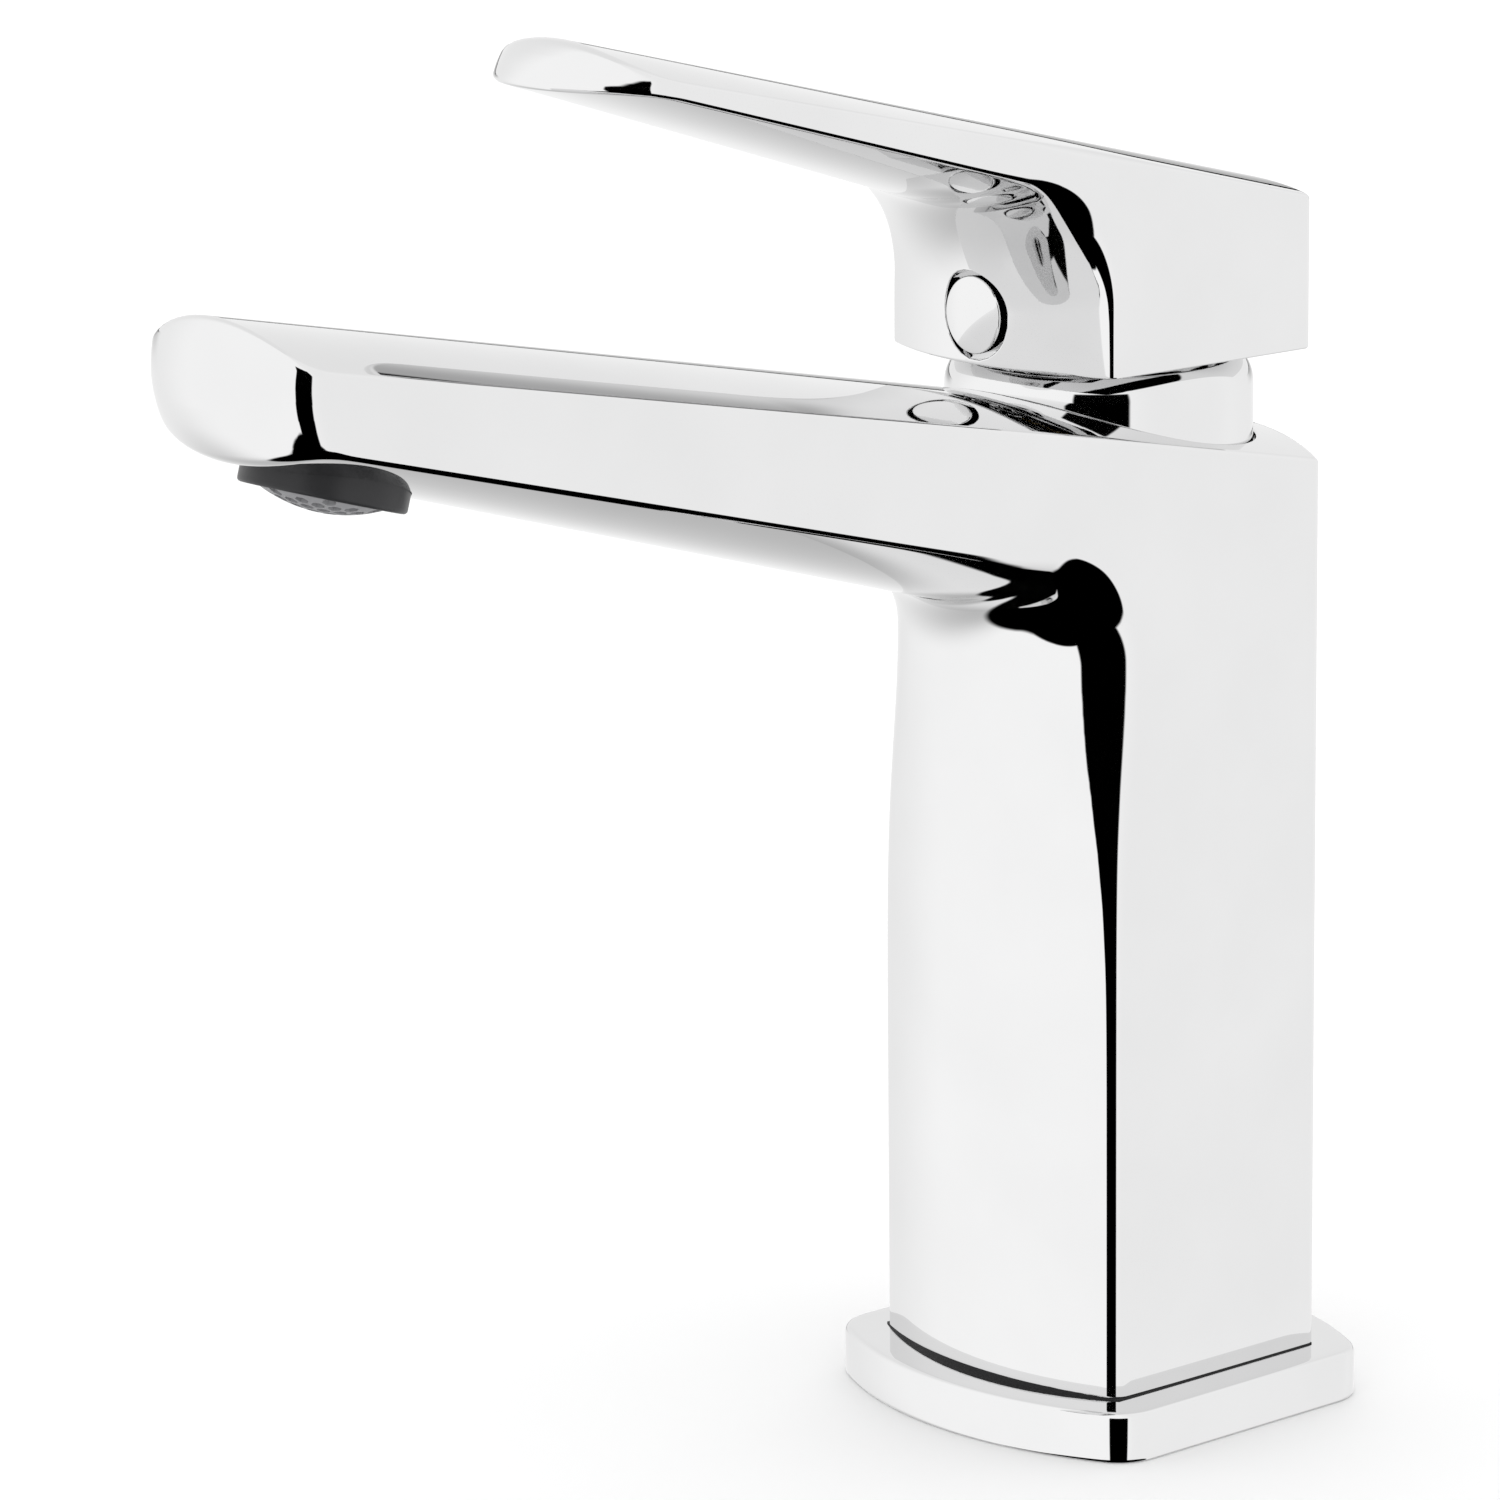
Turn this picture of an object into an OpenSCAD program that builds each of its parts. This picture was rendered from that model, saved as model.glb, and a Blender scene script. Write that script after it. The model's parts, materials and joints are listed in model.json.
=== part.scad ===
// Single-lever basin mixer with a raised spout and a matching lever.
// +Z is up, the spout points towards -Y, and the origin is the centre of the
// foot on the basin deck. Every outer face is flat at the sides and bowed at
// the front, back, top and underside.

/* [Body] */
// Width of the column between its flat sides
body_w = 42; // [41:0.5:44]
// Length of a flat side of the column
body_side = 33; // [32:0.5:36]
// Radius of the bow of the column, the foot and the undersides
bow_r = 44; // [42:0.5:48]
// Height of the crest of the body above the deck, on the column axis
body_crest = 123.2; // [123:0.1:124]
// Rise of the body crest towards the spout tip, in degrees
body_rise = 11; // [10.5:0.1:11.5]

/* [Foot] */
// Width that the foot stands out around the column
foot_margin = 5.2; // [4:0.2:7]
// Thickness of the foot
foot_t = 6.2; // [5:0.2:8]
// Thickness of the shadow gasket between foot and column
gasket_t = 0.8; // [0.6:0.1:1.2]

/* [Spout] */
// Distance from the column axis to the flat corners of the spout tip
spout_reach = 129.9; // [125:0.5:135]
// Width of the spout tip
spout_tip_w = 29; // [28:0.5:31]
// Radius of the bowed face of the spout tip
spout_tip_r = 22; // [20:0.5:26]
// Backward lean of the tip face, in degrees
spout_tip_rake = 13.6; // [10:0.2:16]
// Slope of the spout underside, in degrees
spout_under_rise = 15.7; // [15.4:0.1:16]
// Radius of the fillet from the column into the spout, at the sides
spout_fillet_r = 13; // [12:0.5:14]

/* [Aerator] */
// Outside radius of the aerator ring
aerator_r = 9.45; // [9:0.05:10]
// Distance from the column axis to the aerator axis, at the spout underside
aerator_reach = 116.3; // [114:0.2:118]
// Length of the aerator ring that shows below the spout
aerator_show = 2.2; // [1.5:0.1:3]

/* [Handle] */
// Width of the hub of the handle
hub_w = 38.9; // [38.5:0.1:40]
// Height of the underside of the hub above the deck
hub_z = 130.2; // [130:0.1:131]
// Height of the crest of the handle above the deck, on the column axis
handle_crest = 154.2; // [153.5:0.1:155]
// Rise of the handle crest towards the lever tip, in degrees
handle_rise = 13.65; // [13.3:0.05:14]
// Distance from the column axis to the flat corners of the lever tip
lever_reach = 78; // [74:0.5:82]
// Width of the lever tip
lever_tip_w = 28; // [27:0.5:30]
// Radius of the bowed face of the lever tip
lever_tip_r = 15.3; // [15.2:0.1:17]
// Slope of the lever underside, in degrees
lever_under_rise = 17.4; // [17.2:0.1:17.6]
// Radius of the fillet from the hub into the lever, at the sides
lever_fillet_r = 14.5; // [13.5:0.5:15]

/* [Dome] */
// Outside radius of the dome cap
dome_r = 18.55; // [18.2:0.05:18.6]
// Height of the top of the dome cap above the deck
dome_top = 130.5; // [130:0.1:130.8]

/* [Hidden] */

$fn = 96;
slack = 0.05;

// Column and foot
body_half = body_w / 2;
side_half = body_side / 2;
bow_centre = sqrt(bow_r * bow_r - body_half * body_half) - side_half;
column_z = foot_t + gasket_t;
spigot_r = 17;

// Crowns of the body top: height of the crest above the flat sides
root_crown = 3.06;
tip_crown = 4.28;
spout_tip_half = spout_tip_w / 2;

// Underside of the spout where it would meet the column corners
spout_root_edge = 106.9;

// Handle
hub_half = hub_w / 2;
hub_front = -15.75;
hub_back = 16.25;
hub_crown = 1.6;
lever_tip_crown = 2.9;
lever_root_edge = 151;
lever_tip_half = lever_tip_w / 2;
hub_cavity_r = 17.2;
hub_ceiling = 137.6;
boss_z = 132.6;

// Cartridge stack, from the seat in the body upwards
seat_z = 98;
base_top = 103;
disc_t = 3;
fixed_top = base_top + disc_t;
moving_top = fixed_top + disc_t;
carrier_top = moving_top + 3.5;
guide_z = carrier_top + 0.2;
guide_shoulder = 119.5;
guide_top = 125.5;
housing_top = 123;
flange_z = 113;
flange_top = 115.5;
recess_z = 117;
cartridge_bore_r = 13.5;
nut_thread_r = 15;
housing_r = 12.5;
housing_bore_r = 11.2;
neck_r = 8.8;
port_x = 4.4;
port_y = -3.4;
port_r = 1.9;
disc_rest_y = 1.2;

// Lift pivot: the pin of the control stem
pivot_z = 118;
ball_z = 111.2;
pin_r = 1.5;
stem_w = 6;
stem_head_w = 8;
stem_top = 146.5;

// Water and fixing holes
inlet_x = 9;
inlet_y = 4;
inlet_r = 4.5;
stud_y = -9.5;
stud_r = 3.4;
stud_depth = 15;
inlet_depth = 18;
thread_relief = 1;
supply_top = 93;
supply_r = 3;
waterway_r = 4;
waterway_z = 105.5;

// Set screw and index plug
screw_z = 136.2;
screw_r = 2.5;
plug_r = 4.65;
plug_hole_r = 5.4;

// Aerator axis: square to the spout underside
aerator_z = spout_root_edge - bow(body_half)
    + (aerator_reach - side_half) * tan(spout_under_rise);
aerator_seat = 9.6;

chrome_c = "gainsboro";
brass_c = "darkkhaki";
rubber_c = "dimgray";
plastic_c = "whitesmoke";
ceramic_c = "ivory";
steel_c = "silver";

// Height of an arc of the common bow over half a chord
function bow(half) = bow_r - sqrt(bow_r * bow_r - half * half);
// Radius of an arc from half its chord and its height
function crown_r(half, height) = (half * half + height * height) / (2 * height);

// Plan with flat sides and bowed front and back, grown by margin all round
module bowed_plan(half, margin = 0) {
    intersection() {
        square([2 * (half + margin), 4 * bow_r], center = true);
        translate([0, bow_centre]) circle(bow_r + margin, $fn = 240);
        translate([0, -bow_centre]) circle(bow_r + margin, $fn = 240);
    }
}

// Thin upright slice across Y: flat sides and a crowned top
module crown_slice(y, half, crown, crest) {
    arc_r = crown_r(half, crown);
    translate([0, y, 0]) rotate([90, 0, 0]) linear_extrude(0.02)
        intersection() {
            translate([-half, 0]) square([2 * half, crest]);
            translate([0, crest - arc_r]) circle(arc_r, $fn = 180);
        }
}

// Envelope of an arm: parallel over the root, then tapering to the tip
module arm_envelope(back, root, tip, half, tip_half, crown, tip_crown, crest, rise) {
    beyond = 10;
    step = beyond / (root - tip);
    hull() {
        crown_slice(back, half, crown, crest - back * tan(rise));
        crown_slice(root, half, crown, crest - root * tan(rise));
        crown_slice(tip - beyond, tip_half - (half - tip_half) * step,
            tip_crown + (tip_crown - crown) * step,
            crest - (tip - beyond) * tan(rise));
    }
}

// Arm core: bowed underside, and a leaning bowed face at the tip
module arm_core(root, edge_z, half, rise, tip, tip_z, tip_half, tip_r, rake) {
    length = root - tip;
    intersection() {
        translate([0, root, edge_z - bow(half)]) rotate([90 - rise, 0, 0])
            translate([0, bow_r, -9]) cylinder(r = bow_r, h = length * 1.5, $fn = 240);
        translate([0, tip + sqrt(tip_r * tip_r - tip_half * tip_half), tip_z])
            rotate([rake, 0, 0]) translate([0, 0, -70]) linear_extrude(100) {
                circle(tip_r, $fn = 180);
                translate([-2 * half, 0]) square([4 * half, length - 4]);
            }
    }
}

// Concave fillet that carries the bow of the front face into the underside
module arm_fillet(root, edge_z, half, rise, fillet_r) {
    waist = fillet_r - bow(half);
    bite = 0.06;
    centre_y = root - fillet_r + bite;
    centre_z = edge_z - bow(half) + fillet_r * tan(rise) - waist / cos(rise) + bite;
    reach = 2 * fillet_r - 3;
    translate([0, centre_y, centre_z]) difference() {
        rotate([90, 0, 90]) translate([0, 0, -half - 1]) linear_extrude(2 * half + 2)
            polygon([[0, 0], [fillet_r + 6, 0], [fillet_r + 6, reach],
                [reach * sin(rise), reach * cos(rise)]]);
        rotate([0, 90, 0]) rotate_extrude($fn = 180) difference() {
            translate([0, -half - 2]) square([fillet_r + 5, 2 * half + 4]);
            translate([waist + bow_r, 0]) circle(bow_r, $fn = 240);
        }
    }
}

// Frame of the aerator: origin on the underside, +Z into the spout
module at_aerator() {
    translate([0, -aerator_reach, aerator_z]) rotate([-spout_under_rise, 0, 0])
        children();
}

module ring(outer, inner, height) {
    difference() {
        cylinder(r = outer, h = height);
        translate([0, 0, -1]) cylinder(r = inner, h = height + 2);
    }
}

// Hot and cold ports, mirrored about the middle
module at_ports(z) {
    for (side = [-1, 1]) translate([side * port_x, port_y, z]) children();
}

// Hot and cold supply bores, slanted from the inlets up to the ports. Their seams are turned
// away from the middle plane of each slant.
module supply_bores() {
    run = norm([port_x - inlet_x, port_y - inlet_y]);
    inlet_end = inlet_depth + thread_relief;
    rise = supply_top - inlet_end;
    start = 0.5;
    seam_turn = 37;
    for (side = [-1, 1]) translate([side * inlet_x, inlet_y, inlet_end])
        rotate([0, atan2(run, rise), atan2(port_y - inlet_y, side * (port_x - inlet_x))])
            rotate([0, 0, seam_turn]) translate([0, 0, -start])
                cylinder(r = supply_r, h = norm([run, rise]) + start);
}

module body_casting() {
    color(chrome_c) difference() {
        union() {
            cylinder(r = spigot_r, h = column_z + 1);
            intersection() {
                arm_envelope(side_half + 8, -side_half, -spout_reach, body_half,
                    spout_tip_half, root_crown, tip_crown, body_crest, body_rise);
                union() {
                    translate([0, 0, column_z]) linear_extrude(140)
                        bowed_plan(body_half + 5);
                    arm_core(-side_half, spout_root_edge, body_half, spout_under_rise,
                        -spout_reach, 144.2, spout_tip_half, spout_tip_r,
                        spout_tip_rake);
                    arm_fillet(-side_half, spout_root_edge, body_half,
                        spout_under_rise, spout_fillet_r);
                }
            }
        }
        supply_bores();
        for (side = [-1, 1]) translate([side * inlet_x, inlet_y, -1])
            cylinder(r = inlet_r, h = inlet_depth + thread_relief + 1);
        translate([0, stud_y, -1]) cylinder(r = stud_r, h = stud_depth + 1);
        at_ports(supply_top - 2) cylinder(r = port_r, h = 10);
        translate([0, 0, seat_z]) cylinder(r = cartridge_bore_r, h = 60);
        translate([0, 0, flange_z]) cylinder(r = nut_thread_r, h = 60);
        translate([0, 0, recess_z]) cylinder(r = dome_r + 0.3, h = 60);
        spout_waterway();
        at_aerator() translate([0, 0, -20]) cylinder(r = aerator_r + slack,
            h = 20 + aerator_seat);
    }
}

// Straight bore from the cartridge chamber to the top of the aerator seat
module spout_waterway() {
    run = aerator_reach - 12;
    rise = aerator_z + aerator_seat - 1.5 - waterway_z;
    translate([0, -12, waterway_z]) rotate([90 - atan2(rise, run), 0, 0])
        cylinder(r = waterway_r, h = sqrt(run * run + rise * rise));
}

module base_plate() {
    groove_t = 1.6;
    color(chrome_c) difference() {
        linear_extrude(foot_t) bowed_plan(body_half, foot_margin);
        translate([0, 0, -1]) cylinder(r = spigot_r + 0.2, h = foot_t + 2);
        translate([0, 0, -1]) ring(22.5, 19, groove_t + 1);
    }
}

module base_seal() {
    color(rubber_c) ring(22.4, 19.1, 1.6);
}

module body_gasket() {
    color(rubber_c) translate([0, 0, foot_t]) difference() {
        linear_extrude(gasket_t) bowed_plan(body_half, -0.5);
        translate([0, 0, -1]) cylinder(r = spigot_r + 0.1, h = gasket_t + 2);
    }
}

module cartridge_base() {
    outlet_y = 4.5;
    color(plastic_c) difference() {
        translate([0, 0, seat_z]) cylinder(r = housing_r - 0.1, h = base_top - seat_z);
        at_ports(seat_z - 1) cylinder(r = port_r, h = 10);
        at_ports(seat_z - 1) cylinder(r = 3.4, h = 2.2);
        translate([0, outlet_y, seat_z + 1.5]) cylinder(r = 2.6, h = 10);
        translate([0, outlet_y, seat_z + 3.1]) rotate([-90, 0, 0])
            cylinder(r = 1.6, h = 20);
    }
}

module port_seals() {
    color(rubber_c) at_ports(seat_z) ring(3.3, port_r + 0.1, 1.2);
}

module cartridge_housing() {
    color(plastic_c) difference() {
        union() {
            translate([0, 0, base_top]) cylinder(r = housing_r, h = flange_z - base_top + 1);
            translate([0, 0, flange_z]) cylinder(r = nut_thread_r - 0.5,
                h = flange_top - flange_z);
            translate([0, 0, flange_top - 1]) cylinder(r = neck_r + 3.2,
                h = housing_top - flange_top + 1);
        }
        translate([0, 0, base_top - 1]) cylinder(r = housing_bore_r,
            h = guide_shoulder + 0.2 - base_top + 1);
        cylinder(r = neck_r + 0.3, h = housing_top + 1);
        translate([0, 0, 110.5]) ring(housing_r + 1, 12, 1.6);
    }
}

module cartridge_o_ring() {
    color(rubber_c) translate([0, 0, 111.3]) rotate_extrude()
        translate([12.75, 0]) circle(0.7, $fn = 32);
}

module fixed_disc() {
    color(ceramic_c) difference() {
        translate([0, 0, base_top]) cylinder(r = housing_bore_r - 0.2, h = disc_t);
        at_ports(base_top - 1) cylinder(r = port_r, h = 10);
        translate([0, 4.5, base_top - 1]) cylinder(r = 2.6, h = 10);
    }
}

// Moving disc: a blind pocket in its underside joins the ports to the outlet
module moving_disc() {
    color(ceramic_c) difference() {
        translate([0, disc_rest_y, fixed_top]) cylinder(r = 8.6, h = disc_t);
        translate([0, disc_rest_y + 2.4, fixed_top - 1]) cylinder(r = 5.2, h = 2.8);
    }
}

module disc_carrier() {
    color(plastic_c) difference() {
        translate([0, disc_rest_y, moving_top]) cylinder(r = 8.6,
            h = carrier_top - moving_top);
        translate([0, 0, moving_top + 0.2]) cylinder(r = 2.25, h = 10);
    }
}

module stem_guide() {
    color(plastic_c) difference() {
        union() {
            translate([0, 0, guide_z]) cylinder(r = housing_bore_r - 0.2,
                h = guide_shoulder - guide_z);
            translate([0, 0, guide_shoulder - 1]) cylinder(r = neck_r,
                h = guide_top - guide_shoulder + 1);
        }
        translate([-3.3, -3.4, pivot_z - 2]) cube([6.6, 9.8, 20]);
        translate([-3.3, -5.2, guide_z - 1]) cube([6.6, 8.6, 7.5]);
        translate([-20, 0, pivot_z]) rotate([0, 90, 0]) cylinder(r = pin_r, h = 40);
    }
}

module stem_pin() {
    color(steel_c) translate([-8.4, 0, pivot_z]) rotate([0, 90, 0])
        cylinder(r = pin_r, h = 16.8);
}

module control_stem() {
    lower_z = pivot_z - 4;
    head_z = 128;
    color(brass_c) difference() {
        union() {
            translate([0, 0, ball_z]) sphere(1.9);
            translate([0, 0, ball_z]) cylinder(r = 1.5, h = lower_z - ball_z + 1);
            translate([-stem_w / 2, -stem_w / 2, lower_z])
                cube([stem_w, stem_w, head_z - lower_z + 1]);
            translate([-stem_head_w / 2, -stem_head_w / 2, head_z])
                cube([stem_head_w, stem_head_w, stem_top - head_z]);
        }
        translate([-20, 0, pivot_z]) rotate([0, 90, 0])
            cylinder(r = pin_r + slack, h = 40);
    }
}

module retaining_nut() {
    nut_top = 122.5;
    color(brass_c) difference() {
        union() {
            translate([0, 0, flange_top]) cylinder(r = nut_thread_r - slack, h = 3);
            translate([0, 0, recess_z + 0.2]) cylinder(r = 16.8,
                h = nut_top - recess_z - 0.2);
        }
        translate([0, 0, flange_top - 1]) cylinder(r = neck_r + 3.3, h = 20);
        for (turn = [0, 90]) rotate([0, 0, turn])
            translate([-20, -2, nut_top - 2]) cube([40, 4, 5]);
    }
}

module dome_slip_ring() {
    color(plastic_c) translate([0, 0, recess_z]) ring(dome_r - 0.1, 17, 1);
}

module dome_cap() {
    shoulder_r = 4.5;
    skin = 1.6;
    shoulder_x = dome_r - shoulder_r;
    shoulder_z = dome_top - shoulder_r;
    foot_z = recess_z + 1;
    color(chrome_c) rotate_extrude($fn = 180) difference() {
        union() {
            translate([0, foot_z]) square([dome_r, shoulder_z - foot_z]);
            translate([0, foot_z]) square([shoulder_x, dome_top - foot_z]);
            translate([shoulder_x, shoulder_z]) circle(shoulder_r);
        }
        translate([0, foot_z - 1]) square([dome_r - skin, shoulder_z - foot_z + 1]);
        translate([0, foot_z - 1]) square([shoulder_x - 1, dome_top]);
        translate([shoulder_x, shoulder_z]) circle(shoulder_r - skin);
    }
}

module aerator_housing() {
    color(rubber_c) at_aerator() difference() {
        translate([0, 0, -aerator_show]) cylinder(r = aerator_r,
            h = aerator_show + 7.4);
        translate([0, 0, -aerator_show - 1]) cylinder(r = aerator_r - 1.5, h = 20);
    }
}

module aerator_washer() {
    color(rubber_c) at_aerator() translate([0, 0, 7.4])
        ring(aerator_r - 0.1, 6.6, aerator_seat - 7.4);
}

// Jet regulator: a cup whose floor is pierced by rings of small holes
module aerator_insert() {
    color(plastic_c) at_aerator() difference() {
        translate([0, 0, 2.6]) cylinder(r = 7.9, h = 4.8);
        translate([0, 0, 4.4]) cylinder(r = 6.6, h = 5);
        for (turn = [0 : 45 : 315]) rotate([0, 0, turn])
            translate([4.4, 0, 0]) cylinder(r = 0.8, h = 10, $fn = 16);
    }
}

module aerator_screens() {
    color(steel_c) at_aerator() for (z = [0.9, 1.9]) translate([0, 0, z])
        cylinder(r = 7.9, h = 0.4);
}

// Honeycomb outlet: hexagonal cells inside a rim
module aerator_outlet_grid() {
    pitch = 1.32;
    cell_r = 0.66;
    grid_r = aerator_r - 1.55;
    rows = 6;
    color("darkgray") at_aerator() translate([0, 0, -aerator_show]) difference() {
        cylinder(r = grid_r, h = 2);
        for (row = [-rows : rows]) for (col = [-rows : rows]) {
            x = (col + abs(row % 2) / 2) * pitch;
            y = row * pitch * sqrt(3) / 2;
            if (norm([x, y]) < grid_r - 1)
                translate([x, y, -1]) rotate([0, 0, 30])
                    cylinder(r = cell_r, h = 4, $fn = 6);
        }
    }
}

module hub_plan() {
    reach = sqrt(bow_r * bow_r - hub_half * hub_half);
    intersection() {
        translate([0, hub_front + reach]) circle(bow_r, $fn = 240);
        translate([0, hub_back - reach]) circle(bow_r, $fn = 240);
    }
}

module handle() {
    rib_w = 9;
    color(chrome_c) difference() {
        intersection() {
            arm_envelope(hub_back + 8, hub_front, -lever_reach, hub_half,
                lever_tip_half, hub_crown, lever_tip_crown, handle_crest, handle_rise);
            union() {
                translate([0, 0, hub_z]) linear_extrude(60) hub_plan();
                arm_core(hub_front, lever_root_edge, hub_half, lever_under_rise,
                    -lever_reach, 170, lever_tip_half, lever_tip_r, 0);
                arm_fillet(hub_front, lever_root_edge, hub_half, lever_under_rise,
                    lever_fillet_r);
            }
        }
        difference() {
            translate([0, 0, hub_z - 1]) cylinder(r = hub_cavity_r,
                h = hub_ceiling - hub_z + 1);
            translate([0, 0, boss_z]) cylinder(r = 6.6, h = 10);
            translate([-rib_w / 2, -hub_cavity_r - 1, boss_z])
                cube([rib_w, hub_cavity_r + 1, 10]);
        }
        translate([-stem_head_w / 2 - slack, -stem_head_w / 2 - slack, hub_z - 1])
            cube([stem_head_w + 2 * slack, stem_head_w + 2 * slack,
                stem_top + 0.5 - hub_z + 1]);
        translate([0, 0, screw_z]) rotate([90, 0, 0])
            cylinder(r = screw_r, h = 30);
        translate([0, -18, screw_z]) rotate([90, 0, 0])
            cylinder(r = plug_hole_r, h = 10);
    }
}

module set_screw() {
    color(steel_c) translate([0, -stem_head_w / 2, screw_z]) rotate([90, 0, 0])
        difference() {
            cylinder(r = screw_r - slack, h = 8);
            translate([0, 0, 5.5]) cylinder(r = 1.45, h = 5, $fn = 6);
        }
}

// Domed plug over the set screw, on a stub that presses into the screw hole
module index_plug() {
    dome = 26;
    color(chrome_c) {
        translate([0, -14, screw_z]) rotate([90, 0, 0])
            cylinder(r = screw_r - slack, h = 4.5);
        translate([0, 0, screw_z]) rotate([90, 0, 0]) intersection() {
            translate([0, 0, 18.05]) cylinder(r = plug_r, h = 6);
            translate([0, 0, 21.2 - dome]) sphere(dome, $fn = 180);
        }
    }
}

body_casting();
base_plate();
base_seal();
body_gasket();
cartridge_housing();
cartridge_base();
port_seals();
cartridge_o_ring();
fixed_disc();
moving_disc();
disc_carrier();
stem_guide();
stem_pin();
control_stem();
retaining_nut();
dome_slip_ring();
dome_cap();
aerator_housing();
aerator_washer();
aerator_insert();
aerator_screens();
aerator_outlet_grid();
handle();
set_screw();
index_plug();
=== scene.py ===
"""Looks of a single-lever basin mixer: chrome shells, foot, dome, plug and aerator round the CAD frame.

Lengths in this file are millimetres, in the row frame: +Z up, the spout towards -Y, the deck at z = 0.
The column with its spout, and the hub with its lever, are one kind of shape: a strip that rises as a
column and bends forward into an arm. Each is a grid of quads laid on a smooth field, so that every edge
is a true round and every hole is a true circle in the surface.
"""

import json
import math

import bmesh
import bpy
import numpy as np
from mathutils import Matrix, Vector


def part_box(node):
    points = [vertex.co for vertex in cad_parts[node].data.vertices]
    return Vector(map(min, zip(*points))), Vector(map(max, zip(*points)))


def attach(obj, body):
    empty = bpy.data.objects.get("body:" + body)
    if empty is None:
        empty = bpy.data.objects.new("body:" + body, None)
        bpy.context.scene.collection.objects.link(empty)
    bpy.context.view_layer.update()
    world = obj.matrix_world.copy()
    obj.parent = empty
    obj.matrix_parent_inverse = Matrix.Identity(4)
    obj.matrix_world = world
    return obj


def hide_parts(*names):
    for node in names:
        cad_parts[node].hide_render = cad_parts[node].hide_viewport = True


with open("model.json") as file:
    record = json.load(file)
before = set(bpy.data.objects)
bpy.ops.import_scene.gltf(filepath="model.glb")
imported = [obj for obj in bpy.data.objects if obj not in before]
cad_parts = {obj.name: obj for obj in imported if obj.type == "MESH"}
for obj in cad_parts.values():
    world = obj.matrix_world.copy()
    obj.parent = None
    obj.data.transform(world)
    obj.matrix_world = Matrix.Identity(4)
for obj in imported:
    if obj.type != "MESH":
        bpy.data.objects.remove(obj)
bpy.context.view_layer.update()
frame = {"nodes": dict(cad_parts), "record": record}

MM = 0.001
AXIS_X = np.array([1.0, 0.0, 0.0])
NUDGE = 1e-3            # step for the slope of a field
ARC_REACH = 0.96        # share of an arc's radius beyond which it is taken as flat on
SHARP_EDGE = 40         # degrees between faces, from which an edge is not smoothed
WELD = 0.002            # points closer than this are one point
FLAT_TOLERANCE = 0.01   # how far an edge may lie from a level that it is counted to


def node_box(node):
    """Lowest and highest corners of a CAD node, in millimetres."""
    low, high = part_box(node)
    return np.array(low) / MM, np.array(high) / MM


# How cells grow away from a rounded edge, in edge radii: across an arm, and along it
CELLS_FROM_EDGE = np.array([0, 0.25, 0.5, 0.75, 1.0, 1.5, 2.3, 3.5, 5.0, 7.0, 10.0])
EDGE_CELLS, EDGE_END, GROWTH = 4, 1.3, 1.45

# Rings of cells round an opening, as shares of the way out to the grid, and the turns of its rim
RING_SHARES = (0.78, 0.57, 0.38, 0.22, 0.1, 0.03, 0.0)
RIM_TURNS = (22.5, 45, 67.5, 90)

# ---------------------------------------------------------------- field of an arm


def arc_radius(half, height):
    """Radius of an arc from half its chord and its height."""
    return (half * half + height * height) / (2 * height)


def arc_drop(x, half, height):
    """How far the arc lies below its crest at x, and its slope there."""
    radius = arc_radius(half, height)
    x = np.clip(x, -ARC_REACH * radius, ARC_REACH * radius)
    root = np.sqrt(radius * radius - x * x)
    return radius - root, x / root


def round_max(radius, *fields):
    """Intersection of fields, with its edge rounded to the radius."""
    stack = np.stack(np.broadcast_arrays(*fields))
    lifted = np.maximum(stack + radius, 0)
    rounded = np.sqrt((lifted ** 2).sum(0)) - radius
    return np.where(stack.max(0) > -radius, rounded, stack.max(0))


def round_min(radius, a, b):
    """Union of two fields, with its corner filled to the radius."""
    return -round_max(radius, -a, -b)


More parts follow.
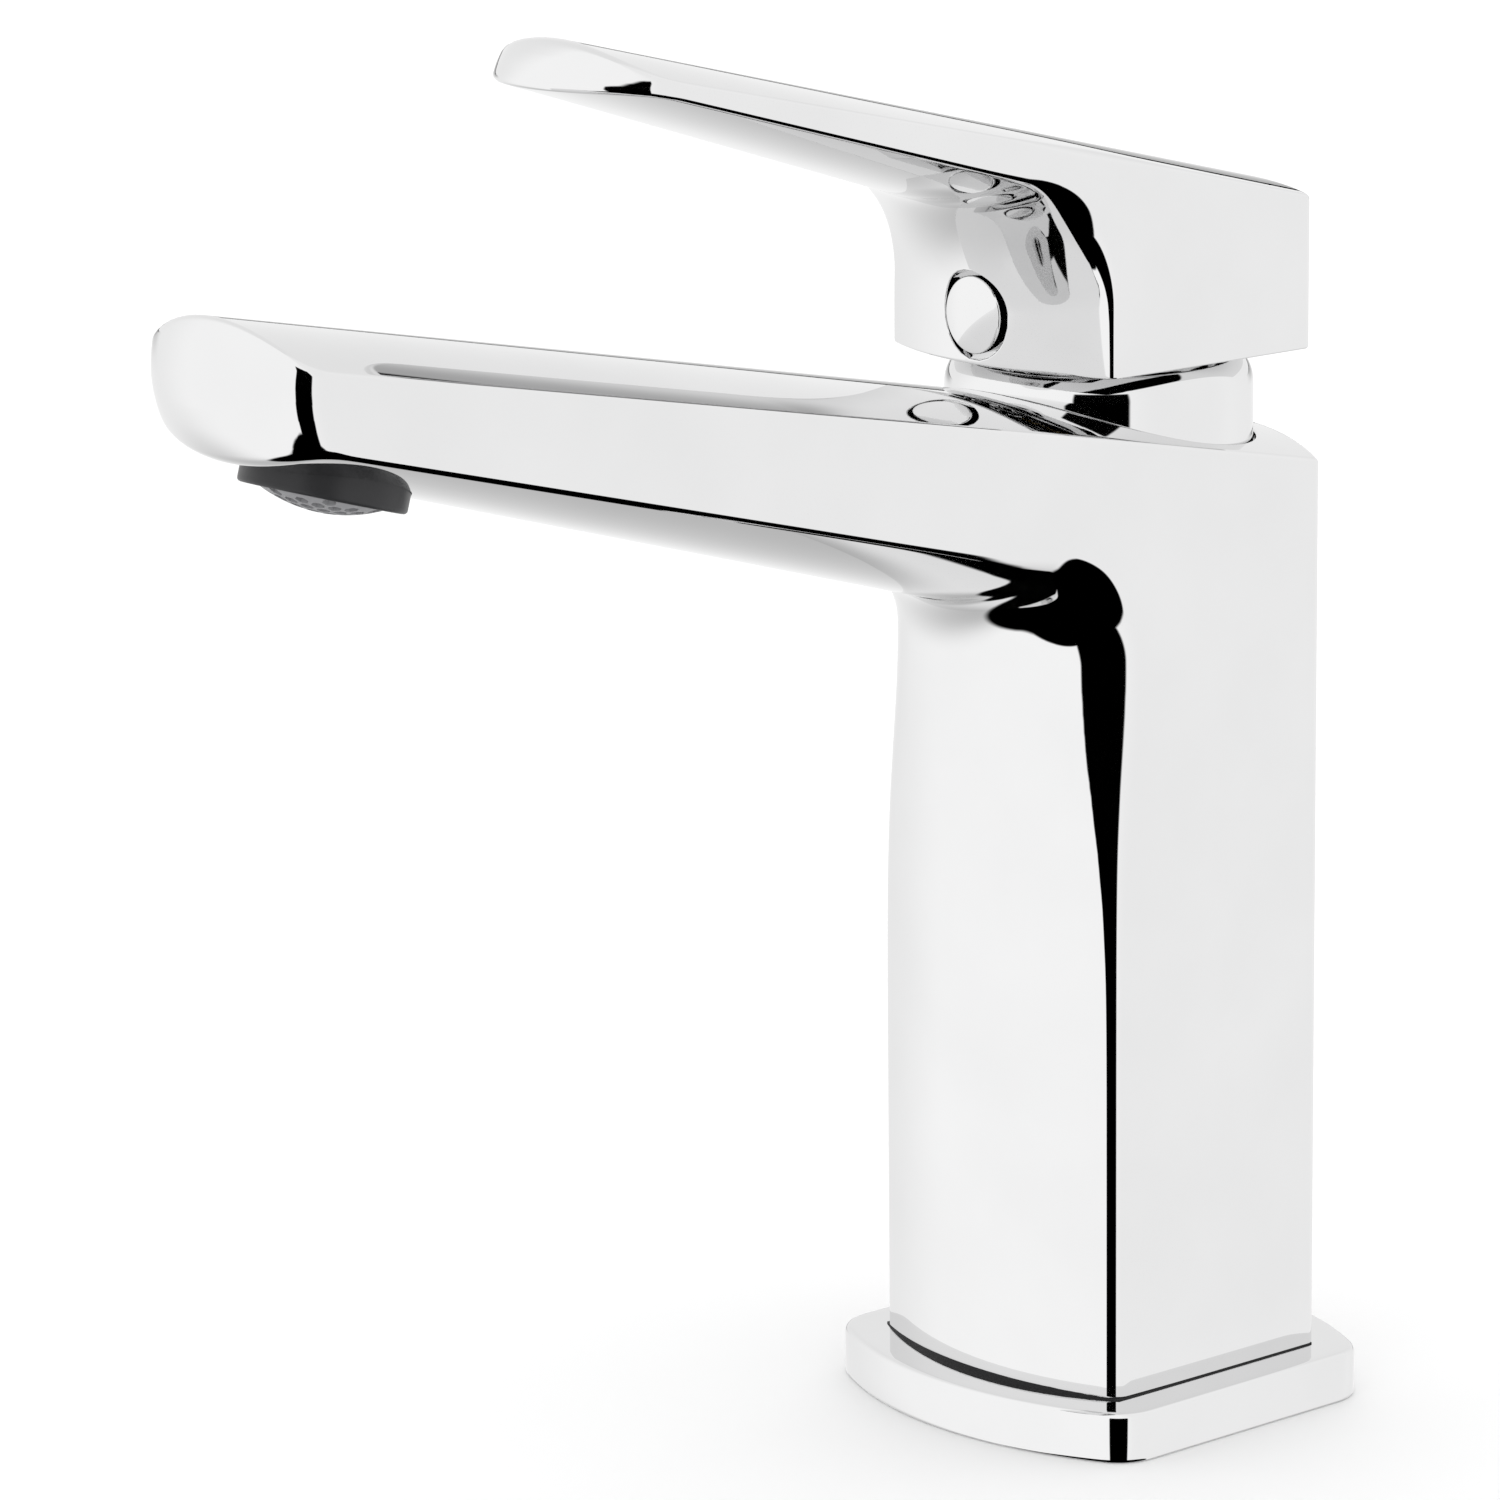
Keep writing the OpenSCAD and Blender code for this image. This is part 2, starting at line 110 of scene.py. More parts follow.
class Arm:
    """A bowed column with an arm: its sizes, its field, and the sharp grid that is laid on the field."""

    def __init__(self, **sizes):
        self.__dict__.update(sizes)
        self.length = self.front - self.tip_edge_y
        self.bow_r = arc_radius(self.half, self.bow)
        self.under_rise = math.atan(self.under[1])

    def run(self, y):
        """Share of the arm's length at y: 0 up to the column's front corners, 1 at the tip."""
        share = (self.front - y) / self.length
        return np.minimum((share + np.sqrt(share ** 2 + self.taper_blend ** 2)) / 2, 1.1)

    def width(self, y):
        """Half width at y."""
        share = self.run(y)
        taper = share + self.taper_bulge * share * (1 - share)
        return self.half - (self.half - self.tip_half) * taper

    def mix(self, pair, y):
        return pair[0] + (pair[1] - pair[0]) * self.run(y)

    def top_z(self, x, y):
        drop, slope = arc_drop(x, self.width(y), self.mix(self.crown, y))
        return self.crest[0] - self.crest[1] * y - drop, slope

    def under_z(self, x, y):
        rise, slope = arc_drop(x, self.width(y), self.mix(self.belly, y))
        return self.under[0] - self.under[1] * y + rise, slope

    def floor_z(self, y):
        """Level of the underside, which rises a little under the front bow."""
        return self.floor + self.toe_lift * np.clip((self.front - y) / self.bow, 0, 1)

    def front_y(self, x):
        return self.front - self.bow + arc_drop(x, self.half, self.bow)[0]

    def back_y(self, x):
        return self.back + self.bow - arc_drop(x, self.half, self.bow)[0]

    def tip_y(self, x, z):
        """Where the tip's face lies at x and z, and its slopes: bowed across and barrelled upwards."""
        drop, slope = arc_drop(x, self.tip_half, self.tip_bow)
        barrel, lean = arc_drop(z - self.barrel_z, self.barrel_r, self.barrel_r)
        return self.tip_edge_y - self.tip_bow + drop + barrel, slope, lean

    def edge_radius(self, y, z):
        """Radius of the edges along the two sides, with its swells."""
        radius = self.side_r
        for swell in self.swells:
            rise = z - swell["z"]
            reach_z = np.where(rise > 0, swell["above"], swell["below"])
            away = ((y - swell["y"]) / swell["reach"]) ** 2 + (rise / reach_z) ** 2
            radius = radius + swell["by"] * np.exp(-away)
        return radius

    def field(self, p):
        """Distance outside the surface, about in millimetres, at points p."""
        x, y, z = p[..., 0], p[..., 1], p[..., 2]
        level, slope = self.top_z(x, y)
        top = (z - level) / np.sqrt(1 + self.crest[1] ** 2 + slope ** 2)
        back = np.hypot(x, y - (self.back + self.bow - self.bow_r)) - self.bow_r
        front = np.hypot(x, y - (self.front - self.bow + self.bow_r)) - self.bow_r
        level, slope = self.under_z(x, y)
        under = (level - z) / np.sqrt(1 + self.under[1] ** 2 + slope ** 2)
        face, slope, lean = self.tip_y(x, z)
        tip = (face - y) / np.sqrt(1 + slope ** 2 + lean ** 2)
        walls = round_max(self.tip_r, tip, np.abs(x) - self.width(y))
        lower = round_min(self.fillet, front, under)
        column_back = np.where(y > 0, back, -self.half)
        edged = round_max(self.edge_radius(y, z), column_back, top, lower, walls)
        return round_max(self.floor_r, edged, self.floor_z(y) - z)

    # The sharp grid: i along the strip, j across it from its inner to its outer side, k along X.

    def stations(self):
        """Fractions along the column, the bend and the arm."""
        joint_z = self.corner(0.0)[1] - self.fillet_run
        column = spread(joint_z - self.floor, self.floor_r, None, self.step)
        arm = spread(self.length - self.bend_y, None, self.side_r, self.step)
        rise = spread(self.crest[0] - joint_z, None, self.side_r, self.step * 0.7)
        top = spread(self.bend_y + self.back, self.side_r, None, self.step * 0.7)
        return column, rise, top, arm

    def corner(self, x):
        """Where the front and the underside would meet, at x."""
        y = self.front_y(x)
        return y, self.under_z(x, y)[0]

    def ribbon(self):
        """Inner and outer curves of the strip, as arrays (i, k, 3)."""
        column, rise, top, arm = self.stations()
        u = 2 * spread(2 * self.half, self.side_r, self.side_r, self.step) - 1
        x0 = u * self.half
        joint_z = self.corner(0.0)[1] - self.fillet_run
        front, back = self.front_y(x0), self.back_y(x0)
        corner_y, corner_z = self.corner(x0)
        n_bend = len(rise) + len(top) - 1
        inner, outer = [], []
        for f in column:
            z = self.floor + (joint_z - self.floor) * f
            inner.append((front, z + 0 * u))
            outer.append((back, z + 0 * u))
        start = np.stack([front, joint_z + 0 * u])
        middle = np.stack([corner_y, corner_z])
        bend_y = self.front - self.bend_y
        end = np.stack([bend_y + 0 * u, self.under_z(u * self.width(bend_y), bend_y)[0]])
        for f in np.linspace(0, 1, n_bend)[1:]:
            inner.append(tuple(start * (1 - f) ** 2 + middle * 2 * f * (1 - f) + end * f * f))
        back_top = self.top_z(x0, back)[0]
        for f in rise[1:]:
            outer.append((back, joint_z + (back_top - joint_z) * f))
        for f in top[1:]:
            y = back + (bend_y - back) * f
            outer.append((y, self.top_z(u * self.width(y), y)[0]))
        tips = []
        for level in (self.under_z, self.top_z):
            y = self.tip_edge_y - self.tip_bow + 0 * u
            for _ in range(12):
                x = u * self.width(y)
                y = self.tip_y(x, level(x, y)[0])[0]
            tips.append(y)
        for f in arm[1:]:
            for side, level, tip in ((inner, self.under_z, tips[0]), (outer, self.top_z, tips[1])):
                y = bend_y + (tip - bend_y) * f
                side.append((y, level(u * self.width(y), y)[0]))
        grids = []
        for side in (inner, outer):
            y = np.array([s[0] for s in side])
            grids.append(np.stack([u * self.width(y), y, np.array([s[1] for s in side])], -1))
        return grids

    def across(self, inner, outer):
        """Fractions across the strip at each station, close together near its two edges."""
        near = CELLS_FROM_EDGE * self.side_r
        gap = np.linalg.norm(inner[:, 0] - outer[:, 0], axis=-1)[:, None]
        near = near * np.minimum(1, 0.4 * gap / near[-1]) / gap
        share = np.linspace(0, 1, self.cells_across + 1)[1:-1]
        middle = near[:, -1:] + (1 - 2 * near[:, -1:]) * share
        return np.concatenate([near, middle, 1 - near[:, ::-1]], 1)


def spread(length, start_r, end_r, step):
    """Fractions 0 to 1 along a length, close together at ends that have an edge radius."""

    def climb(radius):
        if radius is None:
            return [0.0]
        marks = [0.0]
        pace = radius / EDGE_CELLS
        while pace < step and marks[-1] + pace < length / 2:
            marks.append(marks[-1] + pace)
            if marks[-1] > EDGE_END * radius:
                pace *= GROWTH
        return marks

    head, tail = climb(start_r), climb(end_r)
    middle = length - head[-1] - tail[-1]
    count = max(2, math.ceil(middle / step) + 1)
    inside = np.linspace(head[-1], length - tail[-1], count)
    return np.concatenate([head[:-1], inside, length - np.array(tail[::-1][1:])]) / length


# ---------------------------------------------------------------- meshes on a field


class Patch:
    """A grid of point numbers, and the windows in it that are left out of its quads."""

    def __init__(self, grid):
        self.grid = grid
        self.windows = []


class Shell:
    """Points and faces of a piece, in millimetres."""

    def __init__(self, field=None):
        self.points = np.zeros((0, 3))
        self.faces = []
        self.field = field

    def add(self, points):
        points = np.asarray(points, float)
        first = len(self.points)
        self.points = np.concatenate([self.points, points.reshape(-1, 3)])
        return np.arange(first, len(self.points)).reshape(points.shape[:-1])

    def take(self, other):
        """Adds another shell's points and faces."""
        first = len(self.points)
        self.add(other.points)
        self.faces += [tuple(first + n for n in face) for face in other.faces]

    def quads(self, patch):
        """Quads of a patch, outside its windows."""
        grid = patch.grid
        for i in range(grid.shape[0] - 1):
            for j in range(grid.shape[1] - 1):
                if not any(a <= i < b and c <= j < d for (a, b), (c, d) in patch.windows):
                    self.faces.append((grid[i, j], grid[i + 1, j], grid[i + 1, j + 1], grid[i, j + 1]))

    def band(self, ring_a, ring_b):
        """Quads between two closed rings of point numbers."""
        for a in range(len(ring_a)):
            b = (a + 1) % len(ring_a)
            self.faces.append((ring_a[a], ring_a[b], ring_b[b], ring_b[a]))

    def fan(self, ring):
        """Closes a ring with a smaller ring and a middle point."""
        middle = self.points[ring].mean(0)
        inner = self.add(middle + (self.points[ring] - middle) * 0.5)
        self.band(ring, inner)
        centre = self.add([middle])[0]
        for a, b in zip(inner, np.roll(inner, -1)):
            self.faces.append((a, b, centre))

    def settle(self):
        """Moves every point onto the field's surface."""
        for _ in range(8):
            value = self.field(self.points)
            slope = np.stack([(self.field(self.points + NUDGE * e) - self.field(self.points - NUDGE * e))
                              / (2 * NUDGE) for e in np.eye(3)], -1)
            self.points -= slope * (value / np.maximum((slope ** 2).sum(-1), 0.05))[:, None]

    def window(self, patch, centre, rows, columns, axis=1):
        """Leaves out the cells of a patch whose middle column lies in rows along the axis, near the
        centre, and whose X lies in columns. Returns the loop of points round them."""
        grid = patch.grid
        line = self.points[grid[:, grid.shape[1] // 2]]
        inside = (line[:, axis] >= rows[0]) & (line[:, axis] <= rows[1])
        nearest = int(np.argmin(np.linalg.norm(line - centre, axis=-1)))
        i0 = i1 = nearest
        while i0 > 0 and inside[i0 - 1]:
            i0 -= 1
        while i1 < len(line) - 1 and inside[i1 + 1]:
            i1 += 1
        x = self.points[grid[nearest], 0]
        within = np.nonzero((x >= columns[0]) & (x <= columns[1]))[0]
        k0, k1 = int(within[0]), int(within[-1])
        patch.windows.append(((i0, i1), (k0, k1)))
        return np.concatenate([grid[i0, k0:k1], grid[i0:i1, k1], grid[i1, k1:k0:-1], grid[i1:i0:-1, k0]])

    def opening(self, loop, centre, axis, radius, rim, profile):
        """A round opening or boss: rings of quads from the loop in to the circle, a rounded rim, and
        rings of the profile's (radius, height) pairs, with heights along the axis. Returns the last ring."""
        centre, axis = np.array(centre, float), np.array(axis, float)
        across = np.cross(axis, AXIS_X)
        arms = self.points[loop] - centre
        flat_loop = np.stack([arms @ AXIS_X, arms @ across], -1)
        circle = flat_loop / np.linalg.norm(flat_loop, axis=-1)[:, None]
        level = arms @ axis

        def place(flat, level):
            return centre + flat[:, :1] * AXIS_X + flat[:, 1:] * across + level[:, None] * axis

        def surface(flat, level):
            for _ in range(10):
                value = self.field(place(flat, level))
                slope = (self.field(place(flat, level + NUDGE)) - value) / NUDGE
                level = level - np.clip(value / np.maximum(slope, 0.2), -1, 1)
            return level

        last = loop
        for share in RING_SHARES:
            flat = circle * (radius + rim) * (1 - share) + flat_loop * share
            level = surface(flat, level)
            ring = self.add(place(flat, level))
            self.band(last, ring)
            last = ring
        if rim:
            for turn in RIM_TURNS:
                turn = math.radians(turn)
                ring = self.add(place(circle * (radius + rim - rim * math.sin(turn)),
                                      level - rim * (1 - math.cos(turn))))
                self.band(last, ring)
                last = ring
        for ring_r, ring_h in profile:
            ring = self.add(place(circle * ring_r, ring_h + 0 * level))
            self.band(last, ring)
            last = ring
        return last


def arm_shell(arm):
    """The closed grid of an arm, and its six patches."""
    inner, outer = arm.ribbon()
    share = arm.across(inner, outer)
    n_i, n_j, n_k = len(inner), share.shape[1], inner.shape[1]
    number = -np.ones((n_i, n_j, n_k), int)
    ends = np.zeros((n_i, n_j, n_k), bool)
    ends[[0, -1]] = True
    ends[:, [0, -1]] = True
    ends[:, :, [0, -1]] = True
    share = share[:, :, None, None]
    block = inner[:, None] * (1 - share) + outer[:, None] * share
    u = inner[0, :, 0] / inner[0, -1, 0]
    block[..., 0] = u * arm.width(block[..., 1])
    shell = Shell(arm.field)
    number[ends] = shell.add(block[ends])
    shell.settle()
    patches = {
        "inner": Patch(number[:, 0]), "outer": Patch(number[:, -1]),
        "left": Patch(number[:, :, 0]), "right": Patch(number[:, :, -1]),
        "floor": Patch(number[0]), "tip": Patch(number[-1]),
    }
    return shell, patches


def lathe(rings, centre, axis, segments, closed=False):
    """A turned piece: (radius, height) pairs about an axis. A radius of 0 closes an end."""
    centre, axis = np.array(centre, float), np.array(axis, float)
    across = np.cross(axis, AXIS_X)
    turn = np.linspace(0, 2 * math.pi, segments, endpoint=False)
    circle = np.cos(turn)[:, None] * AXIS_X + np.sin(turn)[:, None] * across
    shell = Shell()
    numbers = []
    for radius, height in rings:
        if radius == 0:
            numbers.append(shell.add([centre + height * axis])[0])
        else:
            numbers.append(shell.add(centre + circle * radius + height * axis))
    pairs = list(zip(numbers, numbers[1:]))
    if closed:
        pairs.append((numbers[-1], numbers[0]))
    for a, b in pairs:
        if np.ndim(a) == 0 or np.ndim(b) == 0:
            ring, point = (b, a) if np.ndim(a) == 0 else (a, b)
            for p, q in zip(ring, np.roll(ring, -1)):
                shell.faces.append((p, q, point))
        else:
            shell.band(a, b)
    return shell


def arc_points(centre, radius, start, end, count):
    """(x, y) pairs along an arc, with angles in degrees."""
    turn = np.radians(np.linspace(start, end, count))
    return [(centre[0] + radius * math.cos(t), centre[1] + radius * math.sin(t)) for t in turn]


def fill_flat(bm, level):
    """Fills the open edges that lie at a level with flat triangles, round any holes."""
    edges = [e for e in bm.edges if e.is_boundary
             and all(abs(v.co.z - level * MM) < FLAT_TOLERANCE * MM for v in e.verts)]
    bmesh.ops.triangle_fill(bm, use_beauty=True, edges=edges, normal=(0, 0, -1))


def add_object(name, bm, material):
    """An object in the scene with the mesh of bm, and one material."""
    mesh = bpy.data.meshes.new(name)
    bm.to_mesh(mesh)
    bm.free()
    mesh.materials.append(material)
    added = bpy.data.objects.new(name, mesh)
    bpy.context.scene.collection.objects.link(added)
    return added


def join_frame(piece, body, replaced):
    """Hangs a piece on the empty of the body that it rides on, and hides the CAD node that it replaces."""
    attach(piece, body)
    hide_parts(replaced)


def make_piece(name, shell, body, slot, replaced, flat_level=None):
    """A Blender piece from a shell: welded, turned outwards, smooth apart from its sharp edges."""
    bm = bmesh.new()
    points = [bm.verts.new(p * MM) for p in shell.points]
    for face in shell.faces:
        try:
            bm.faces.new([points[i] for i in face])
        except ValueError:
            continue
    bmesh.ops.remove_doubles(bm, verts=bm.verts, dist=WELD * MM)
    bmesh.ops.dissolve_degenerate(bm, edges=bm.edges, dist=WELD / 2 * MM)
    loose = [v for v in bm.verts if not v.link_faces]
    bmesh.ops.delete(bm, geom=loose, context="VERTS")
    if flat_level is not None:
        fill_flat(bm, flat_level)
    bmesh.ops.recalc_face_normals(bm, faces=bm.faces)
    for face in bm.faces:
        face.smooth = True
    for edge in bm.edges:
        edge.smooth = len(edge.link_faces) == 2 and edge.calc_face_angle(0) < math.radians(SHARP_EDGE)
    join_frame(add_object(name, bm, FINISHES[slot]), body, replaced)


# ---------------------------------------------------------------- materials


def new_material(name, color, metallic, roughness):
    """A material with its shader set, and the node tree's parts."""
    material = bpy.data.materials.new(name)
    material.use_nodes = True
    nodes, links = material.node_tree.nodes, material.node_tree.links
    shader = nodes["Principled BSDF"]
    shader.inputs["Base Color"].default_value = (*color, 1)
    shader.inputs["Metallic"].default_value = metallic
    shader.inputs["Roughness"].default_value = roughness
    return material, nodes, links, shader


def object_place(nodes):
    """Coordinates in object space."""
    return nodes.new("ShaderNodeTexCoord").outputs["Object"]


def noise(nodes, links, scale, detail, vector=None):
    """The value of a noise texture, in object space if no other vector is given."""
    texture = nodes.new("ShaderNodeTexNoise")
    texture.inputs["Scale"].default_value = scale
    texture.inputs["Detail"].default_value = detail
    links.new(vector or object_place(nodes), texture.inputs["Vector"])
    return texture.outputs["Fac"]


def ranged(nodes, links, source, low, high):
    """A value from 0 to 1 carried over to low to high."""
    span = nodes.new("ShaderNodeMapRange")
    span.inputs["To Min"].default_value = low
    span.inputs["To Max"].default_value = high
    links.new(source, span.inputs["Value"])
    return span.outputs["Result"]


def bump(nodes, links, shader, source, strength, distance):
    """Fine relief from the source, with its distance in metres."""
    node = nodes.new("ShaderNodeBump")
    node.inputs["Strength"].default_value = strength
    node.inputs["Distance"].default_value = distance
    links.new(source, node.inputs["Height"])
    links.new(node.outputs["Normal"], shader.inputs["Normal"])


def tint(nodes, links, shader, source, dark, light):
    """Base colour that varies from dark to light with the source."""
    ramp = nodes.new("ShaderNodeValToRGB")
    ramp.color_ramp.elements[0].color = (*dark, 1)
    ramp.color_ramp.elements[1].color = (*light, 1)
    ramp.color_ramp.elements[0].position = 0.3
    ramp.color_ramp.elements[1].position = 0.7
    links.new(source, ramp.inputs["Fac"])
    links.new(ramp.outputs["Color"], shader.inputs["Base Color"])


def chrome():
    """Mirror plate: a faint cloudiness from polishing, and a film of fine wiping marks."""
    material, nodes, links, shader = new_material("chrome_plate", (0.76, 0.76, 0.762), 1.0, 0.03)
    cloud = noise(nodes, links, 55, 3)
    tint(nodes, links, shader, cloud, (0.748, 0.748, 0.75), (0.772, 0.772, 0.774))
    stretch = nodes.new("ShaderNodeMapping")
    stretch.inputs["Scale"].default_value = (900, 120, 120)
    links.new(object_place(nodes), stretch.inputs["Vector"])
    wiping = noise(nodes, links, 1, 6, stretch.outputs["Vector"])
    links.new(ranged(nodes, links, wiping, 0.012, 0.055), shader.inputs["Roughness"])
    ripple = noise(nodes, links, 30, 1)
    bump(nodes, links, shader, ripple, 0.012, 0.0006)
    return material


def brass():
    """Turned brass with fine tool marks."""
    material, nodes, links, shader = new_material("machined_brass", (0.78, 0.6, 0.3), 1.0, 0.3)
    patina = noise(nodes, links, 140, 4)
    tint(nodes, links, shader, patina, (0.62, 0.45, 0.2), (0.84, 0.66, 0.36))
    marks = nodes.new("ShaderNodeTexWave")
    marks.bands_direction = "Z"
    marks.inputs["Scale"].default_value = 900
    marks.inputs["Distortion"].default_value = 1.5
    links.new(object_place(nodes), marks.inputs["Vector"])
    links.new(ranged(nodes, links, patina, 0.2, 0.42), shader.inputs["Roughness"])
    bump(nodes, links, shader, marks.outputs["Fac"], 0.15, 0.0001)
    return material


def steel():
    """Turned stainless steel."""
    material, nodes, links, shader = new_material("turned_steel", (0.62, 0.62, 0.63), 1.0, 0.25)
    grain = noise(nodes, links, 700, 4)
    tint(nodes, links, shader, grain, (0.5, 0.5, 0.51), (0.7, 0.7, 0.71))
    links.new(ranged(nodes, links, grain, 0.16, 0.36), shader.inputs["Roughness"])
    bump(nodes, links, shader, grain, 0.1, 0.00005)
    return material


def moulded(name, color, roughness, grain_scale, grain_depth):
    """Moulded rubber, plastic or ceramic: a fine grain, and a slow change of tone and gloss."""
    material, nodes, links, shader = new_material(name, color, 0.0, roughness)
    tone = noise(nodes, links, 90, 3)
    dark = tuple(0.86 * c for c in color)
    light = tuple(min(1.0, 1.1 * c) for c in color)
    tint(nodes, links, shader, tone, dark, light)
    spread_r = ranged(nodes, links, tone, roughness * 0.8, min(1.0, roughness * 1.2))
    links.new(spread_r, shader.inputs["Roughness"])
    shader.inputs["Specular IOR Level"].default_value = 0.3
    grain = noise(nodes, links, grain_scale, 4)
    bump(nodes, links, shader, grain, 0.25, grain_depth)
    return material


FINISHES = {
    "chrome": chrome(),
    "brass": brass(),
    "steel": steel(),
    "rubber": moulded("black_elastomer", (0.012, 0.012, 0.013), 0.6, 1500, 0.00008),
    "cartridge_plastic": moulded("cartridge_plastic", (0.82, 0.82, 0.79), 0.45, 1800, 0.00004),
    "ceramic": moulded("lapped_ceramic", (0.9, 0.88, 0.83), 0.16, 2500, 0.00001),
    "aerator_shell": moulded("dark_shell_plastic", (0.028, 0.028, 0.03), 0.36, 2200, 0.00003),
    "grid_plastic": moulded("grey_grid_plastic", (0.26, 0.26, 0.27), 0.4, 2600, 0.00002),
}

# ---------------------------------------------------------------- column and spout

foot_high = node_box("base_plate")[1]
column_floor = foot_high[2] + 0.15

BODY = Arm(
    half=21.0, front=-16.47, back=16.47, bow=5.37, floor=column_floor,
    crest=(123.19, 0.195), crown=(3.06, 4.28),
    under=(95.14, 0.289), belly=(6.98, 3.08),
    tip_half=14.7, tip_edge_y=-128.8, tip_bow=4.5, tip_r=2.2, barrel_z=141.5, barrel_r=14.0,
    taper_blend=0.08, taper_bulge=0.15,
    fillet=7.0, fillet_run=9.0, bend_y=14.0,
    side_r=0.6, floor_r=0.15, toe_lift=0.5,
    swells=[dict(by=6.5, y=-21.0, z=97.0, reach=13.0, above=14.0, below=21.0),
            dict(by=1.0, y=-18.0, z=70.0, reach=10.0, above=40.0, below=300.0)],
    step=2.2, cells_across=12,
)

ORIGIN = (0, 0, 0)
UP, DOWN, FORWARD = (0, 0, 1), (0, 0, -1), (0, -1, 0)

# Windows of the grid that the openings take: their rows, and their columns along X
DOME_WINDOW = (-20.6, 20.7), (-19.95, 19.95)
AERATOR_WINDOW = (-127.0, -105.4), (-12.2, 12.2)
SPIGOT_WINDOW = (-17.6, 17.6), (-19.6, 19.6)

DOME_GAP, DOME_RIM = 0.3, 0.25
DOME_SEAT_Z = 117
CARTRIDGE_SEAT = [(15, DOME_SEAT_Z), (15, 113), (13.5, 113), (13.5, 98)]
AERATOR_Y = -116.3
AERATOR_R = 9.48
AERATOR_GAP, AERATOR_RIM, AERATOR_SEAT = 0.07, 0.12, -8.5
SPIGOT_R = 17.0
CHAMFER = 0.4


def body_piece():
    shell, patches = arm_shell(BODY)

    # Seat of the dome and the cartridge in the top
    seat_r = node_box("dome_cap")[1][0] + DOME_GAP
    loop = shell.window(patches["outer"], (0, 0, BODY.crest[0]), *DOME_WINDOW)
    last = shell.opening(loop, ORIGIN, UP, seat_r, DOME_RIM, [(seat_r, DOME_SEAT_Z)] + CARTRIDGE_SEAT)
    shell.fan(last)

    # Seat of the aerator in the underside
    centre, down = aerator_frame()
    seat_r = AERATOR_R + AERATOR_GAP
    loop = shell.window(patches["inner"], centre, *AERATOR_WINDOW)
    last = shell.opening(loop, centre, down, seat_r, AERATOR_RIM, [(seat_r, AERATOR_SEAT)])
    shell.fan(last)

    # Spigot under the column, with its inlets and stud hole
    loop = shell.window(patches["floor"], (0, 0, BODY.floor), *SPIGOT_WINDOW)
    shell.opening(loop, ORIGIN, DOWN, SPIGOT_R, 0.0, [(SPIGOT_R, -CHAMFER), (SPIGOT_R - CHAMFER, 0.0)])
    mounts = {m["name"]: m for m in frame["record"]["mounts"]}
    for name in ("hot_inlet", "cold_inlet", "stud_hole"):
        x, y, _ = np.array(mounts[name]["pos_m"]) / MM
        radius, depth = mounts[name]["dims"]["r_mm"], mounts[name]["dims"]["length_mm"]
        bore = [(radius + CHAMFER, 0), (radius, CHAMFER), (radius, depth), (radius * 0.5, depth), (0, depth)]
        shell.take(lathe(bore, (x, y, 0), UP, 48))
    for patch in patches.values():
        shell.quads(patch)
    make_piece("body_shell", shell, "body", "chrome", "body_casting", flat_level=0.0)


def aerator_frame():
    """Centre of the aerator on the underside, and its axis downwards."""
    rise = BODY.under_rise
    centre = np.array([0.0, AERATOR_Y, BODY.under_z(0.0, AERATOR_Y)[0]])
    return centre, np.array([0.0, -math.sin(rise), -math.cos(rise)])


# ---------------------------------------------------------------- hub and lever

hub_floor = node_box("handle")[0][2]

HANDLE = Arm(
    half=19.44, front=-15.74, back=16.24, bow=4.56, floor=hub_floor,
    crest=(154.21, 0.243), crown=(1.6, 2.91),
    under=(141.55, 0.316), belly=(4.5, 2.13),
    tip_half=14.02, tip_edge_y=-79.0, tip_bow=9.17, tip_r=0.8, barrel_z=166.5, barrel_r=9.0,
    taper_blend=0.08, taper_bulge=0.08,
    fillet=10.6, fillet_run=11.0, bend_y=16.0,
    side_r=0.6, floor_r=0.35, toe_lift=0.0,
    swells=[dict(by=2.6, y=-19.0, z=150.5, reach=8.0, above=8.0, below=8.0)],
    step=2.0, cells_across=12,
)
PLUG_Z = 136.2
PLUG_WINDOW = (HANDLE.floor + 0.3, PLUG_Z + 7.2), (-7.9, 7.9)
PLUG_HOLE_R, PLUG_HOLE_RIM, PLUG_HOLE_FLOOR = 5.4, 0.2, 18.0
HOLLOW_WINDOW = (-19.2, 19.4), (-18.5, 18.5)
HOLLOW_R, HOLLOW_RIM, HOLLOW_TOP = 17.2, 0.25, 137.6


def handle_piece():
    shell, patches = arm_shell(HANDLE)

    # Hole for the plug in the front
    loop = shell.window(patches["inner"], (0, HANDLE.front - HANDLE.bow, PLUG_Z), *PLUG_WINDOW, axis=2)
    last = shell.opening(loop, (0, 0, PLUG_Z), FORWARD, PLUG_HOLE_R, PLUG_HOLE_RIM,
                         [(PLUG_HOLE_R, PLUG_HOLE_FLOOR)])
    shell.fan(last)

    # Hollow under the hub
    loop = shell.window(patches["floor"], (0, 0, HANDLE.floor), *HOLLOW_WINDOW)
    last = shell.opening(loop, ORIGIN, DOWN, HOLLOW_R, HOLLOW_RIM, [(HOLLOW_R, -HOLLOW_TOP)])
    shell.fan(last)
    for patch in patches.values():
        shell.quads(patch)
    make_piece("handle_shell", shell, "lever", "chrome", "handle")


# ---------------------------------------------------------------- foot

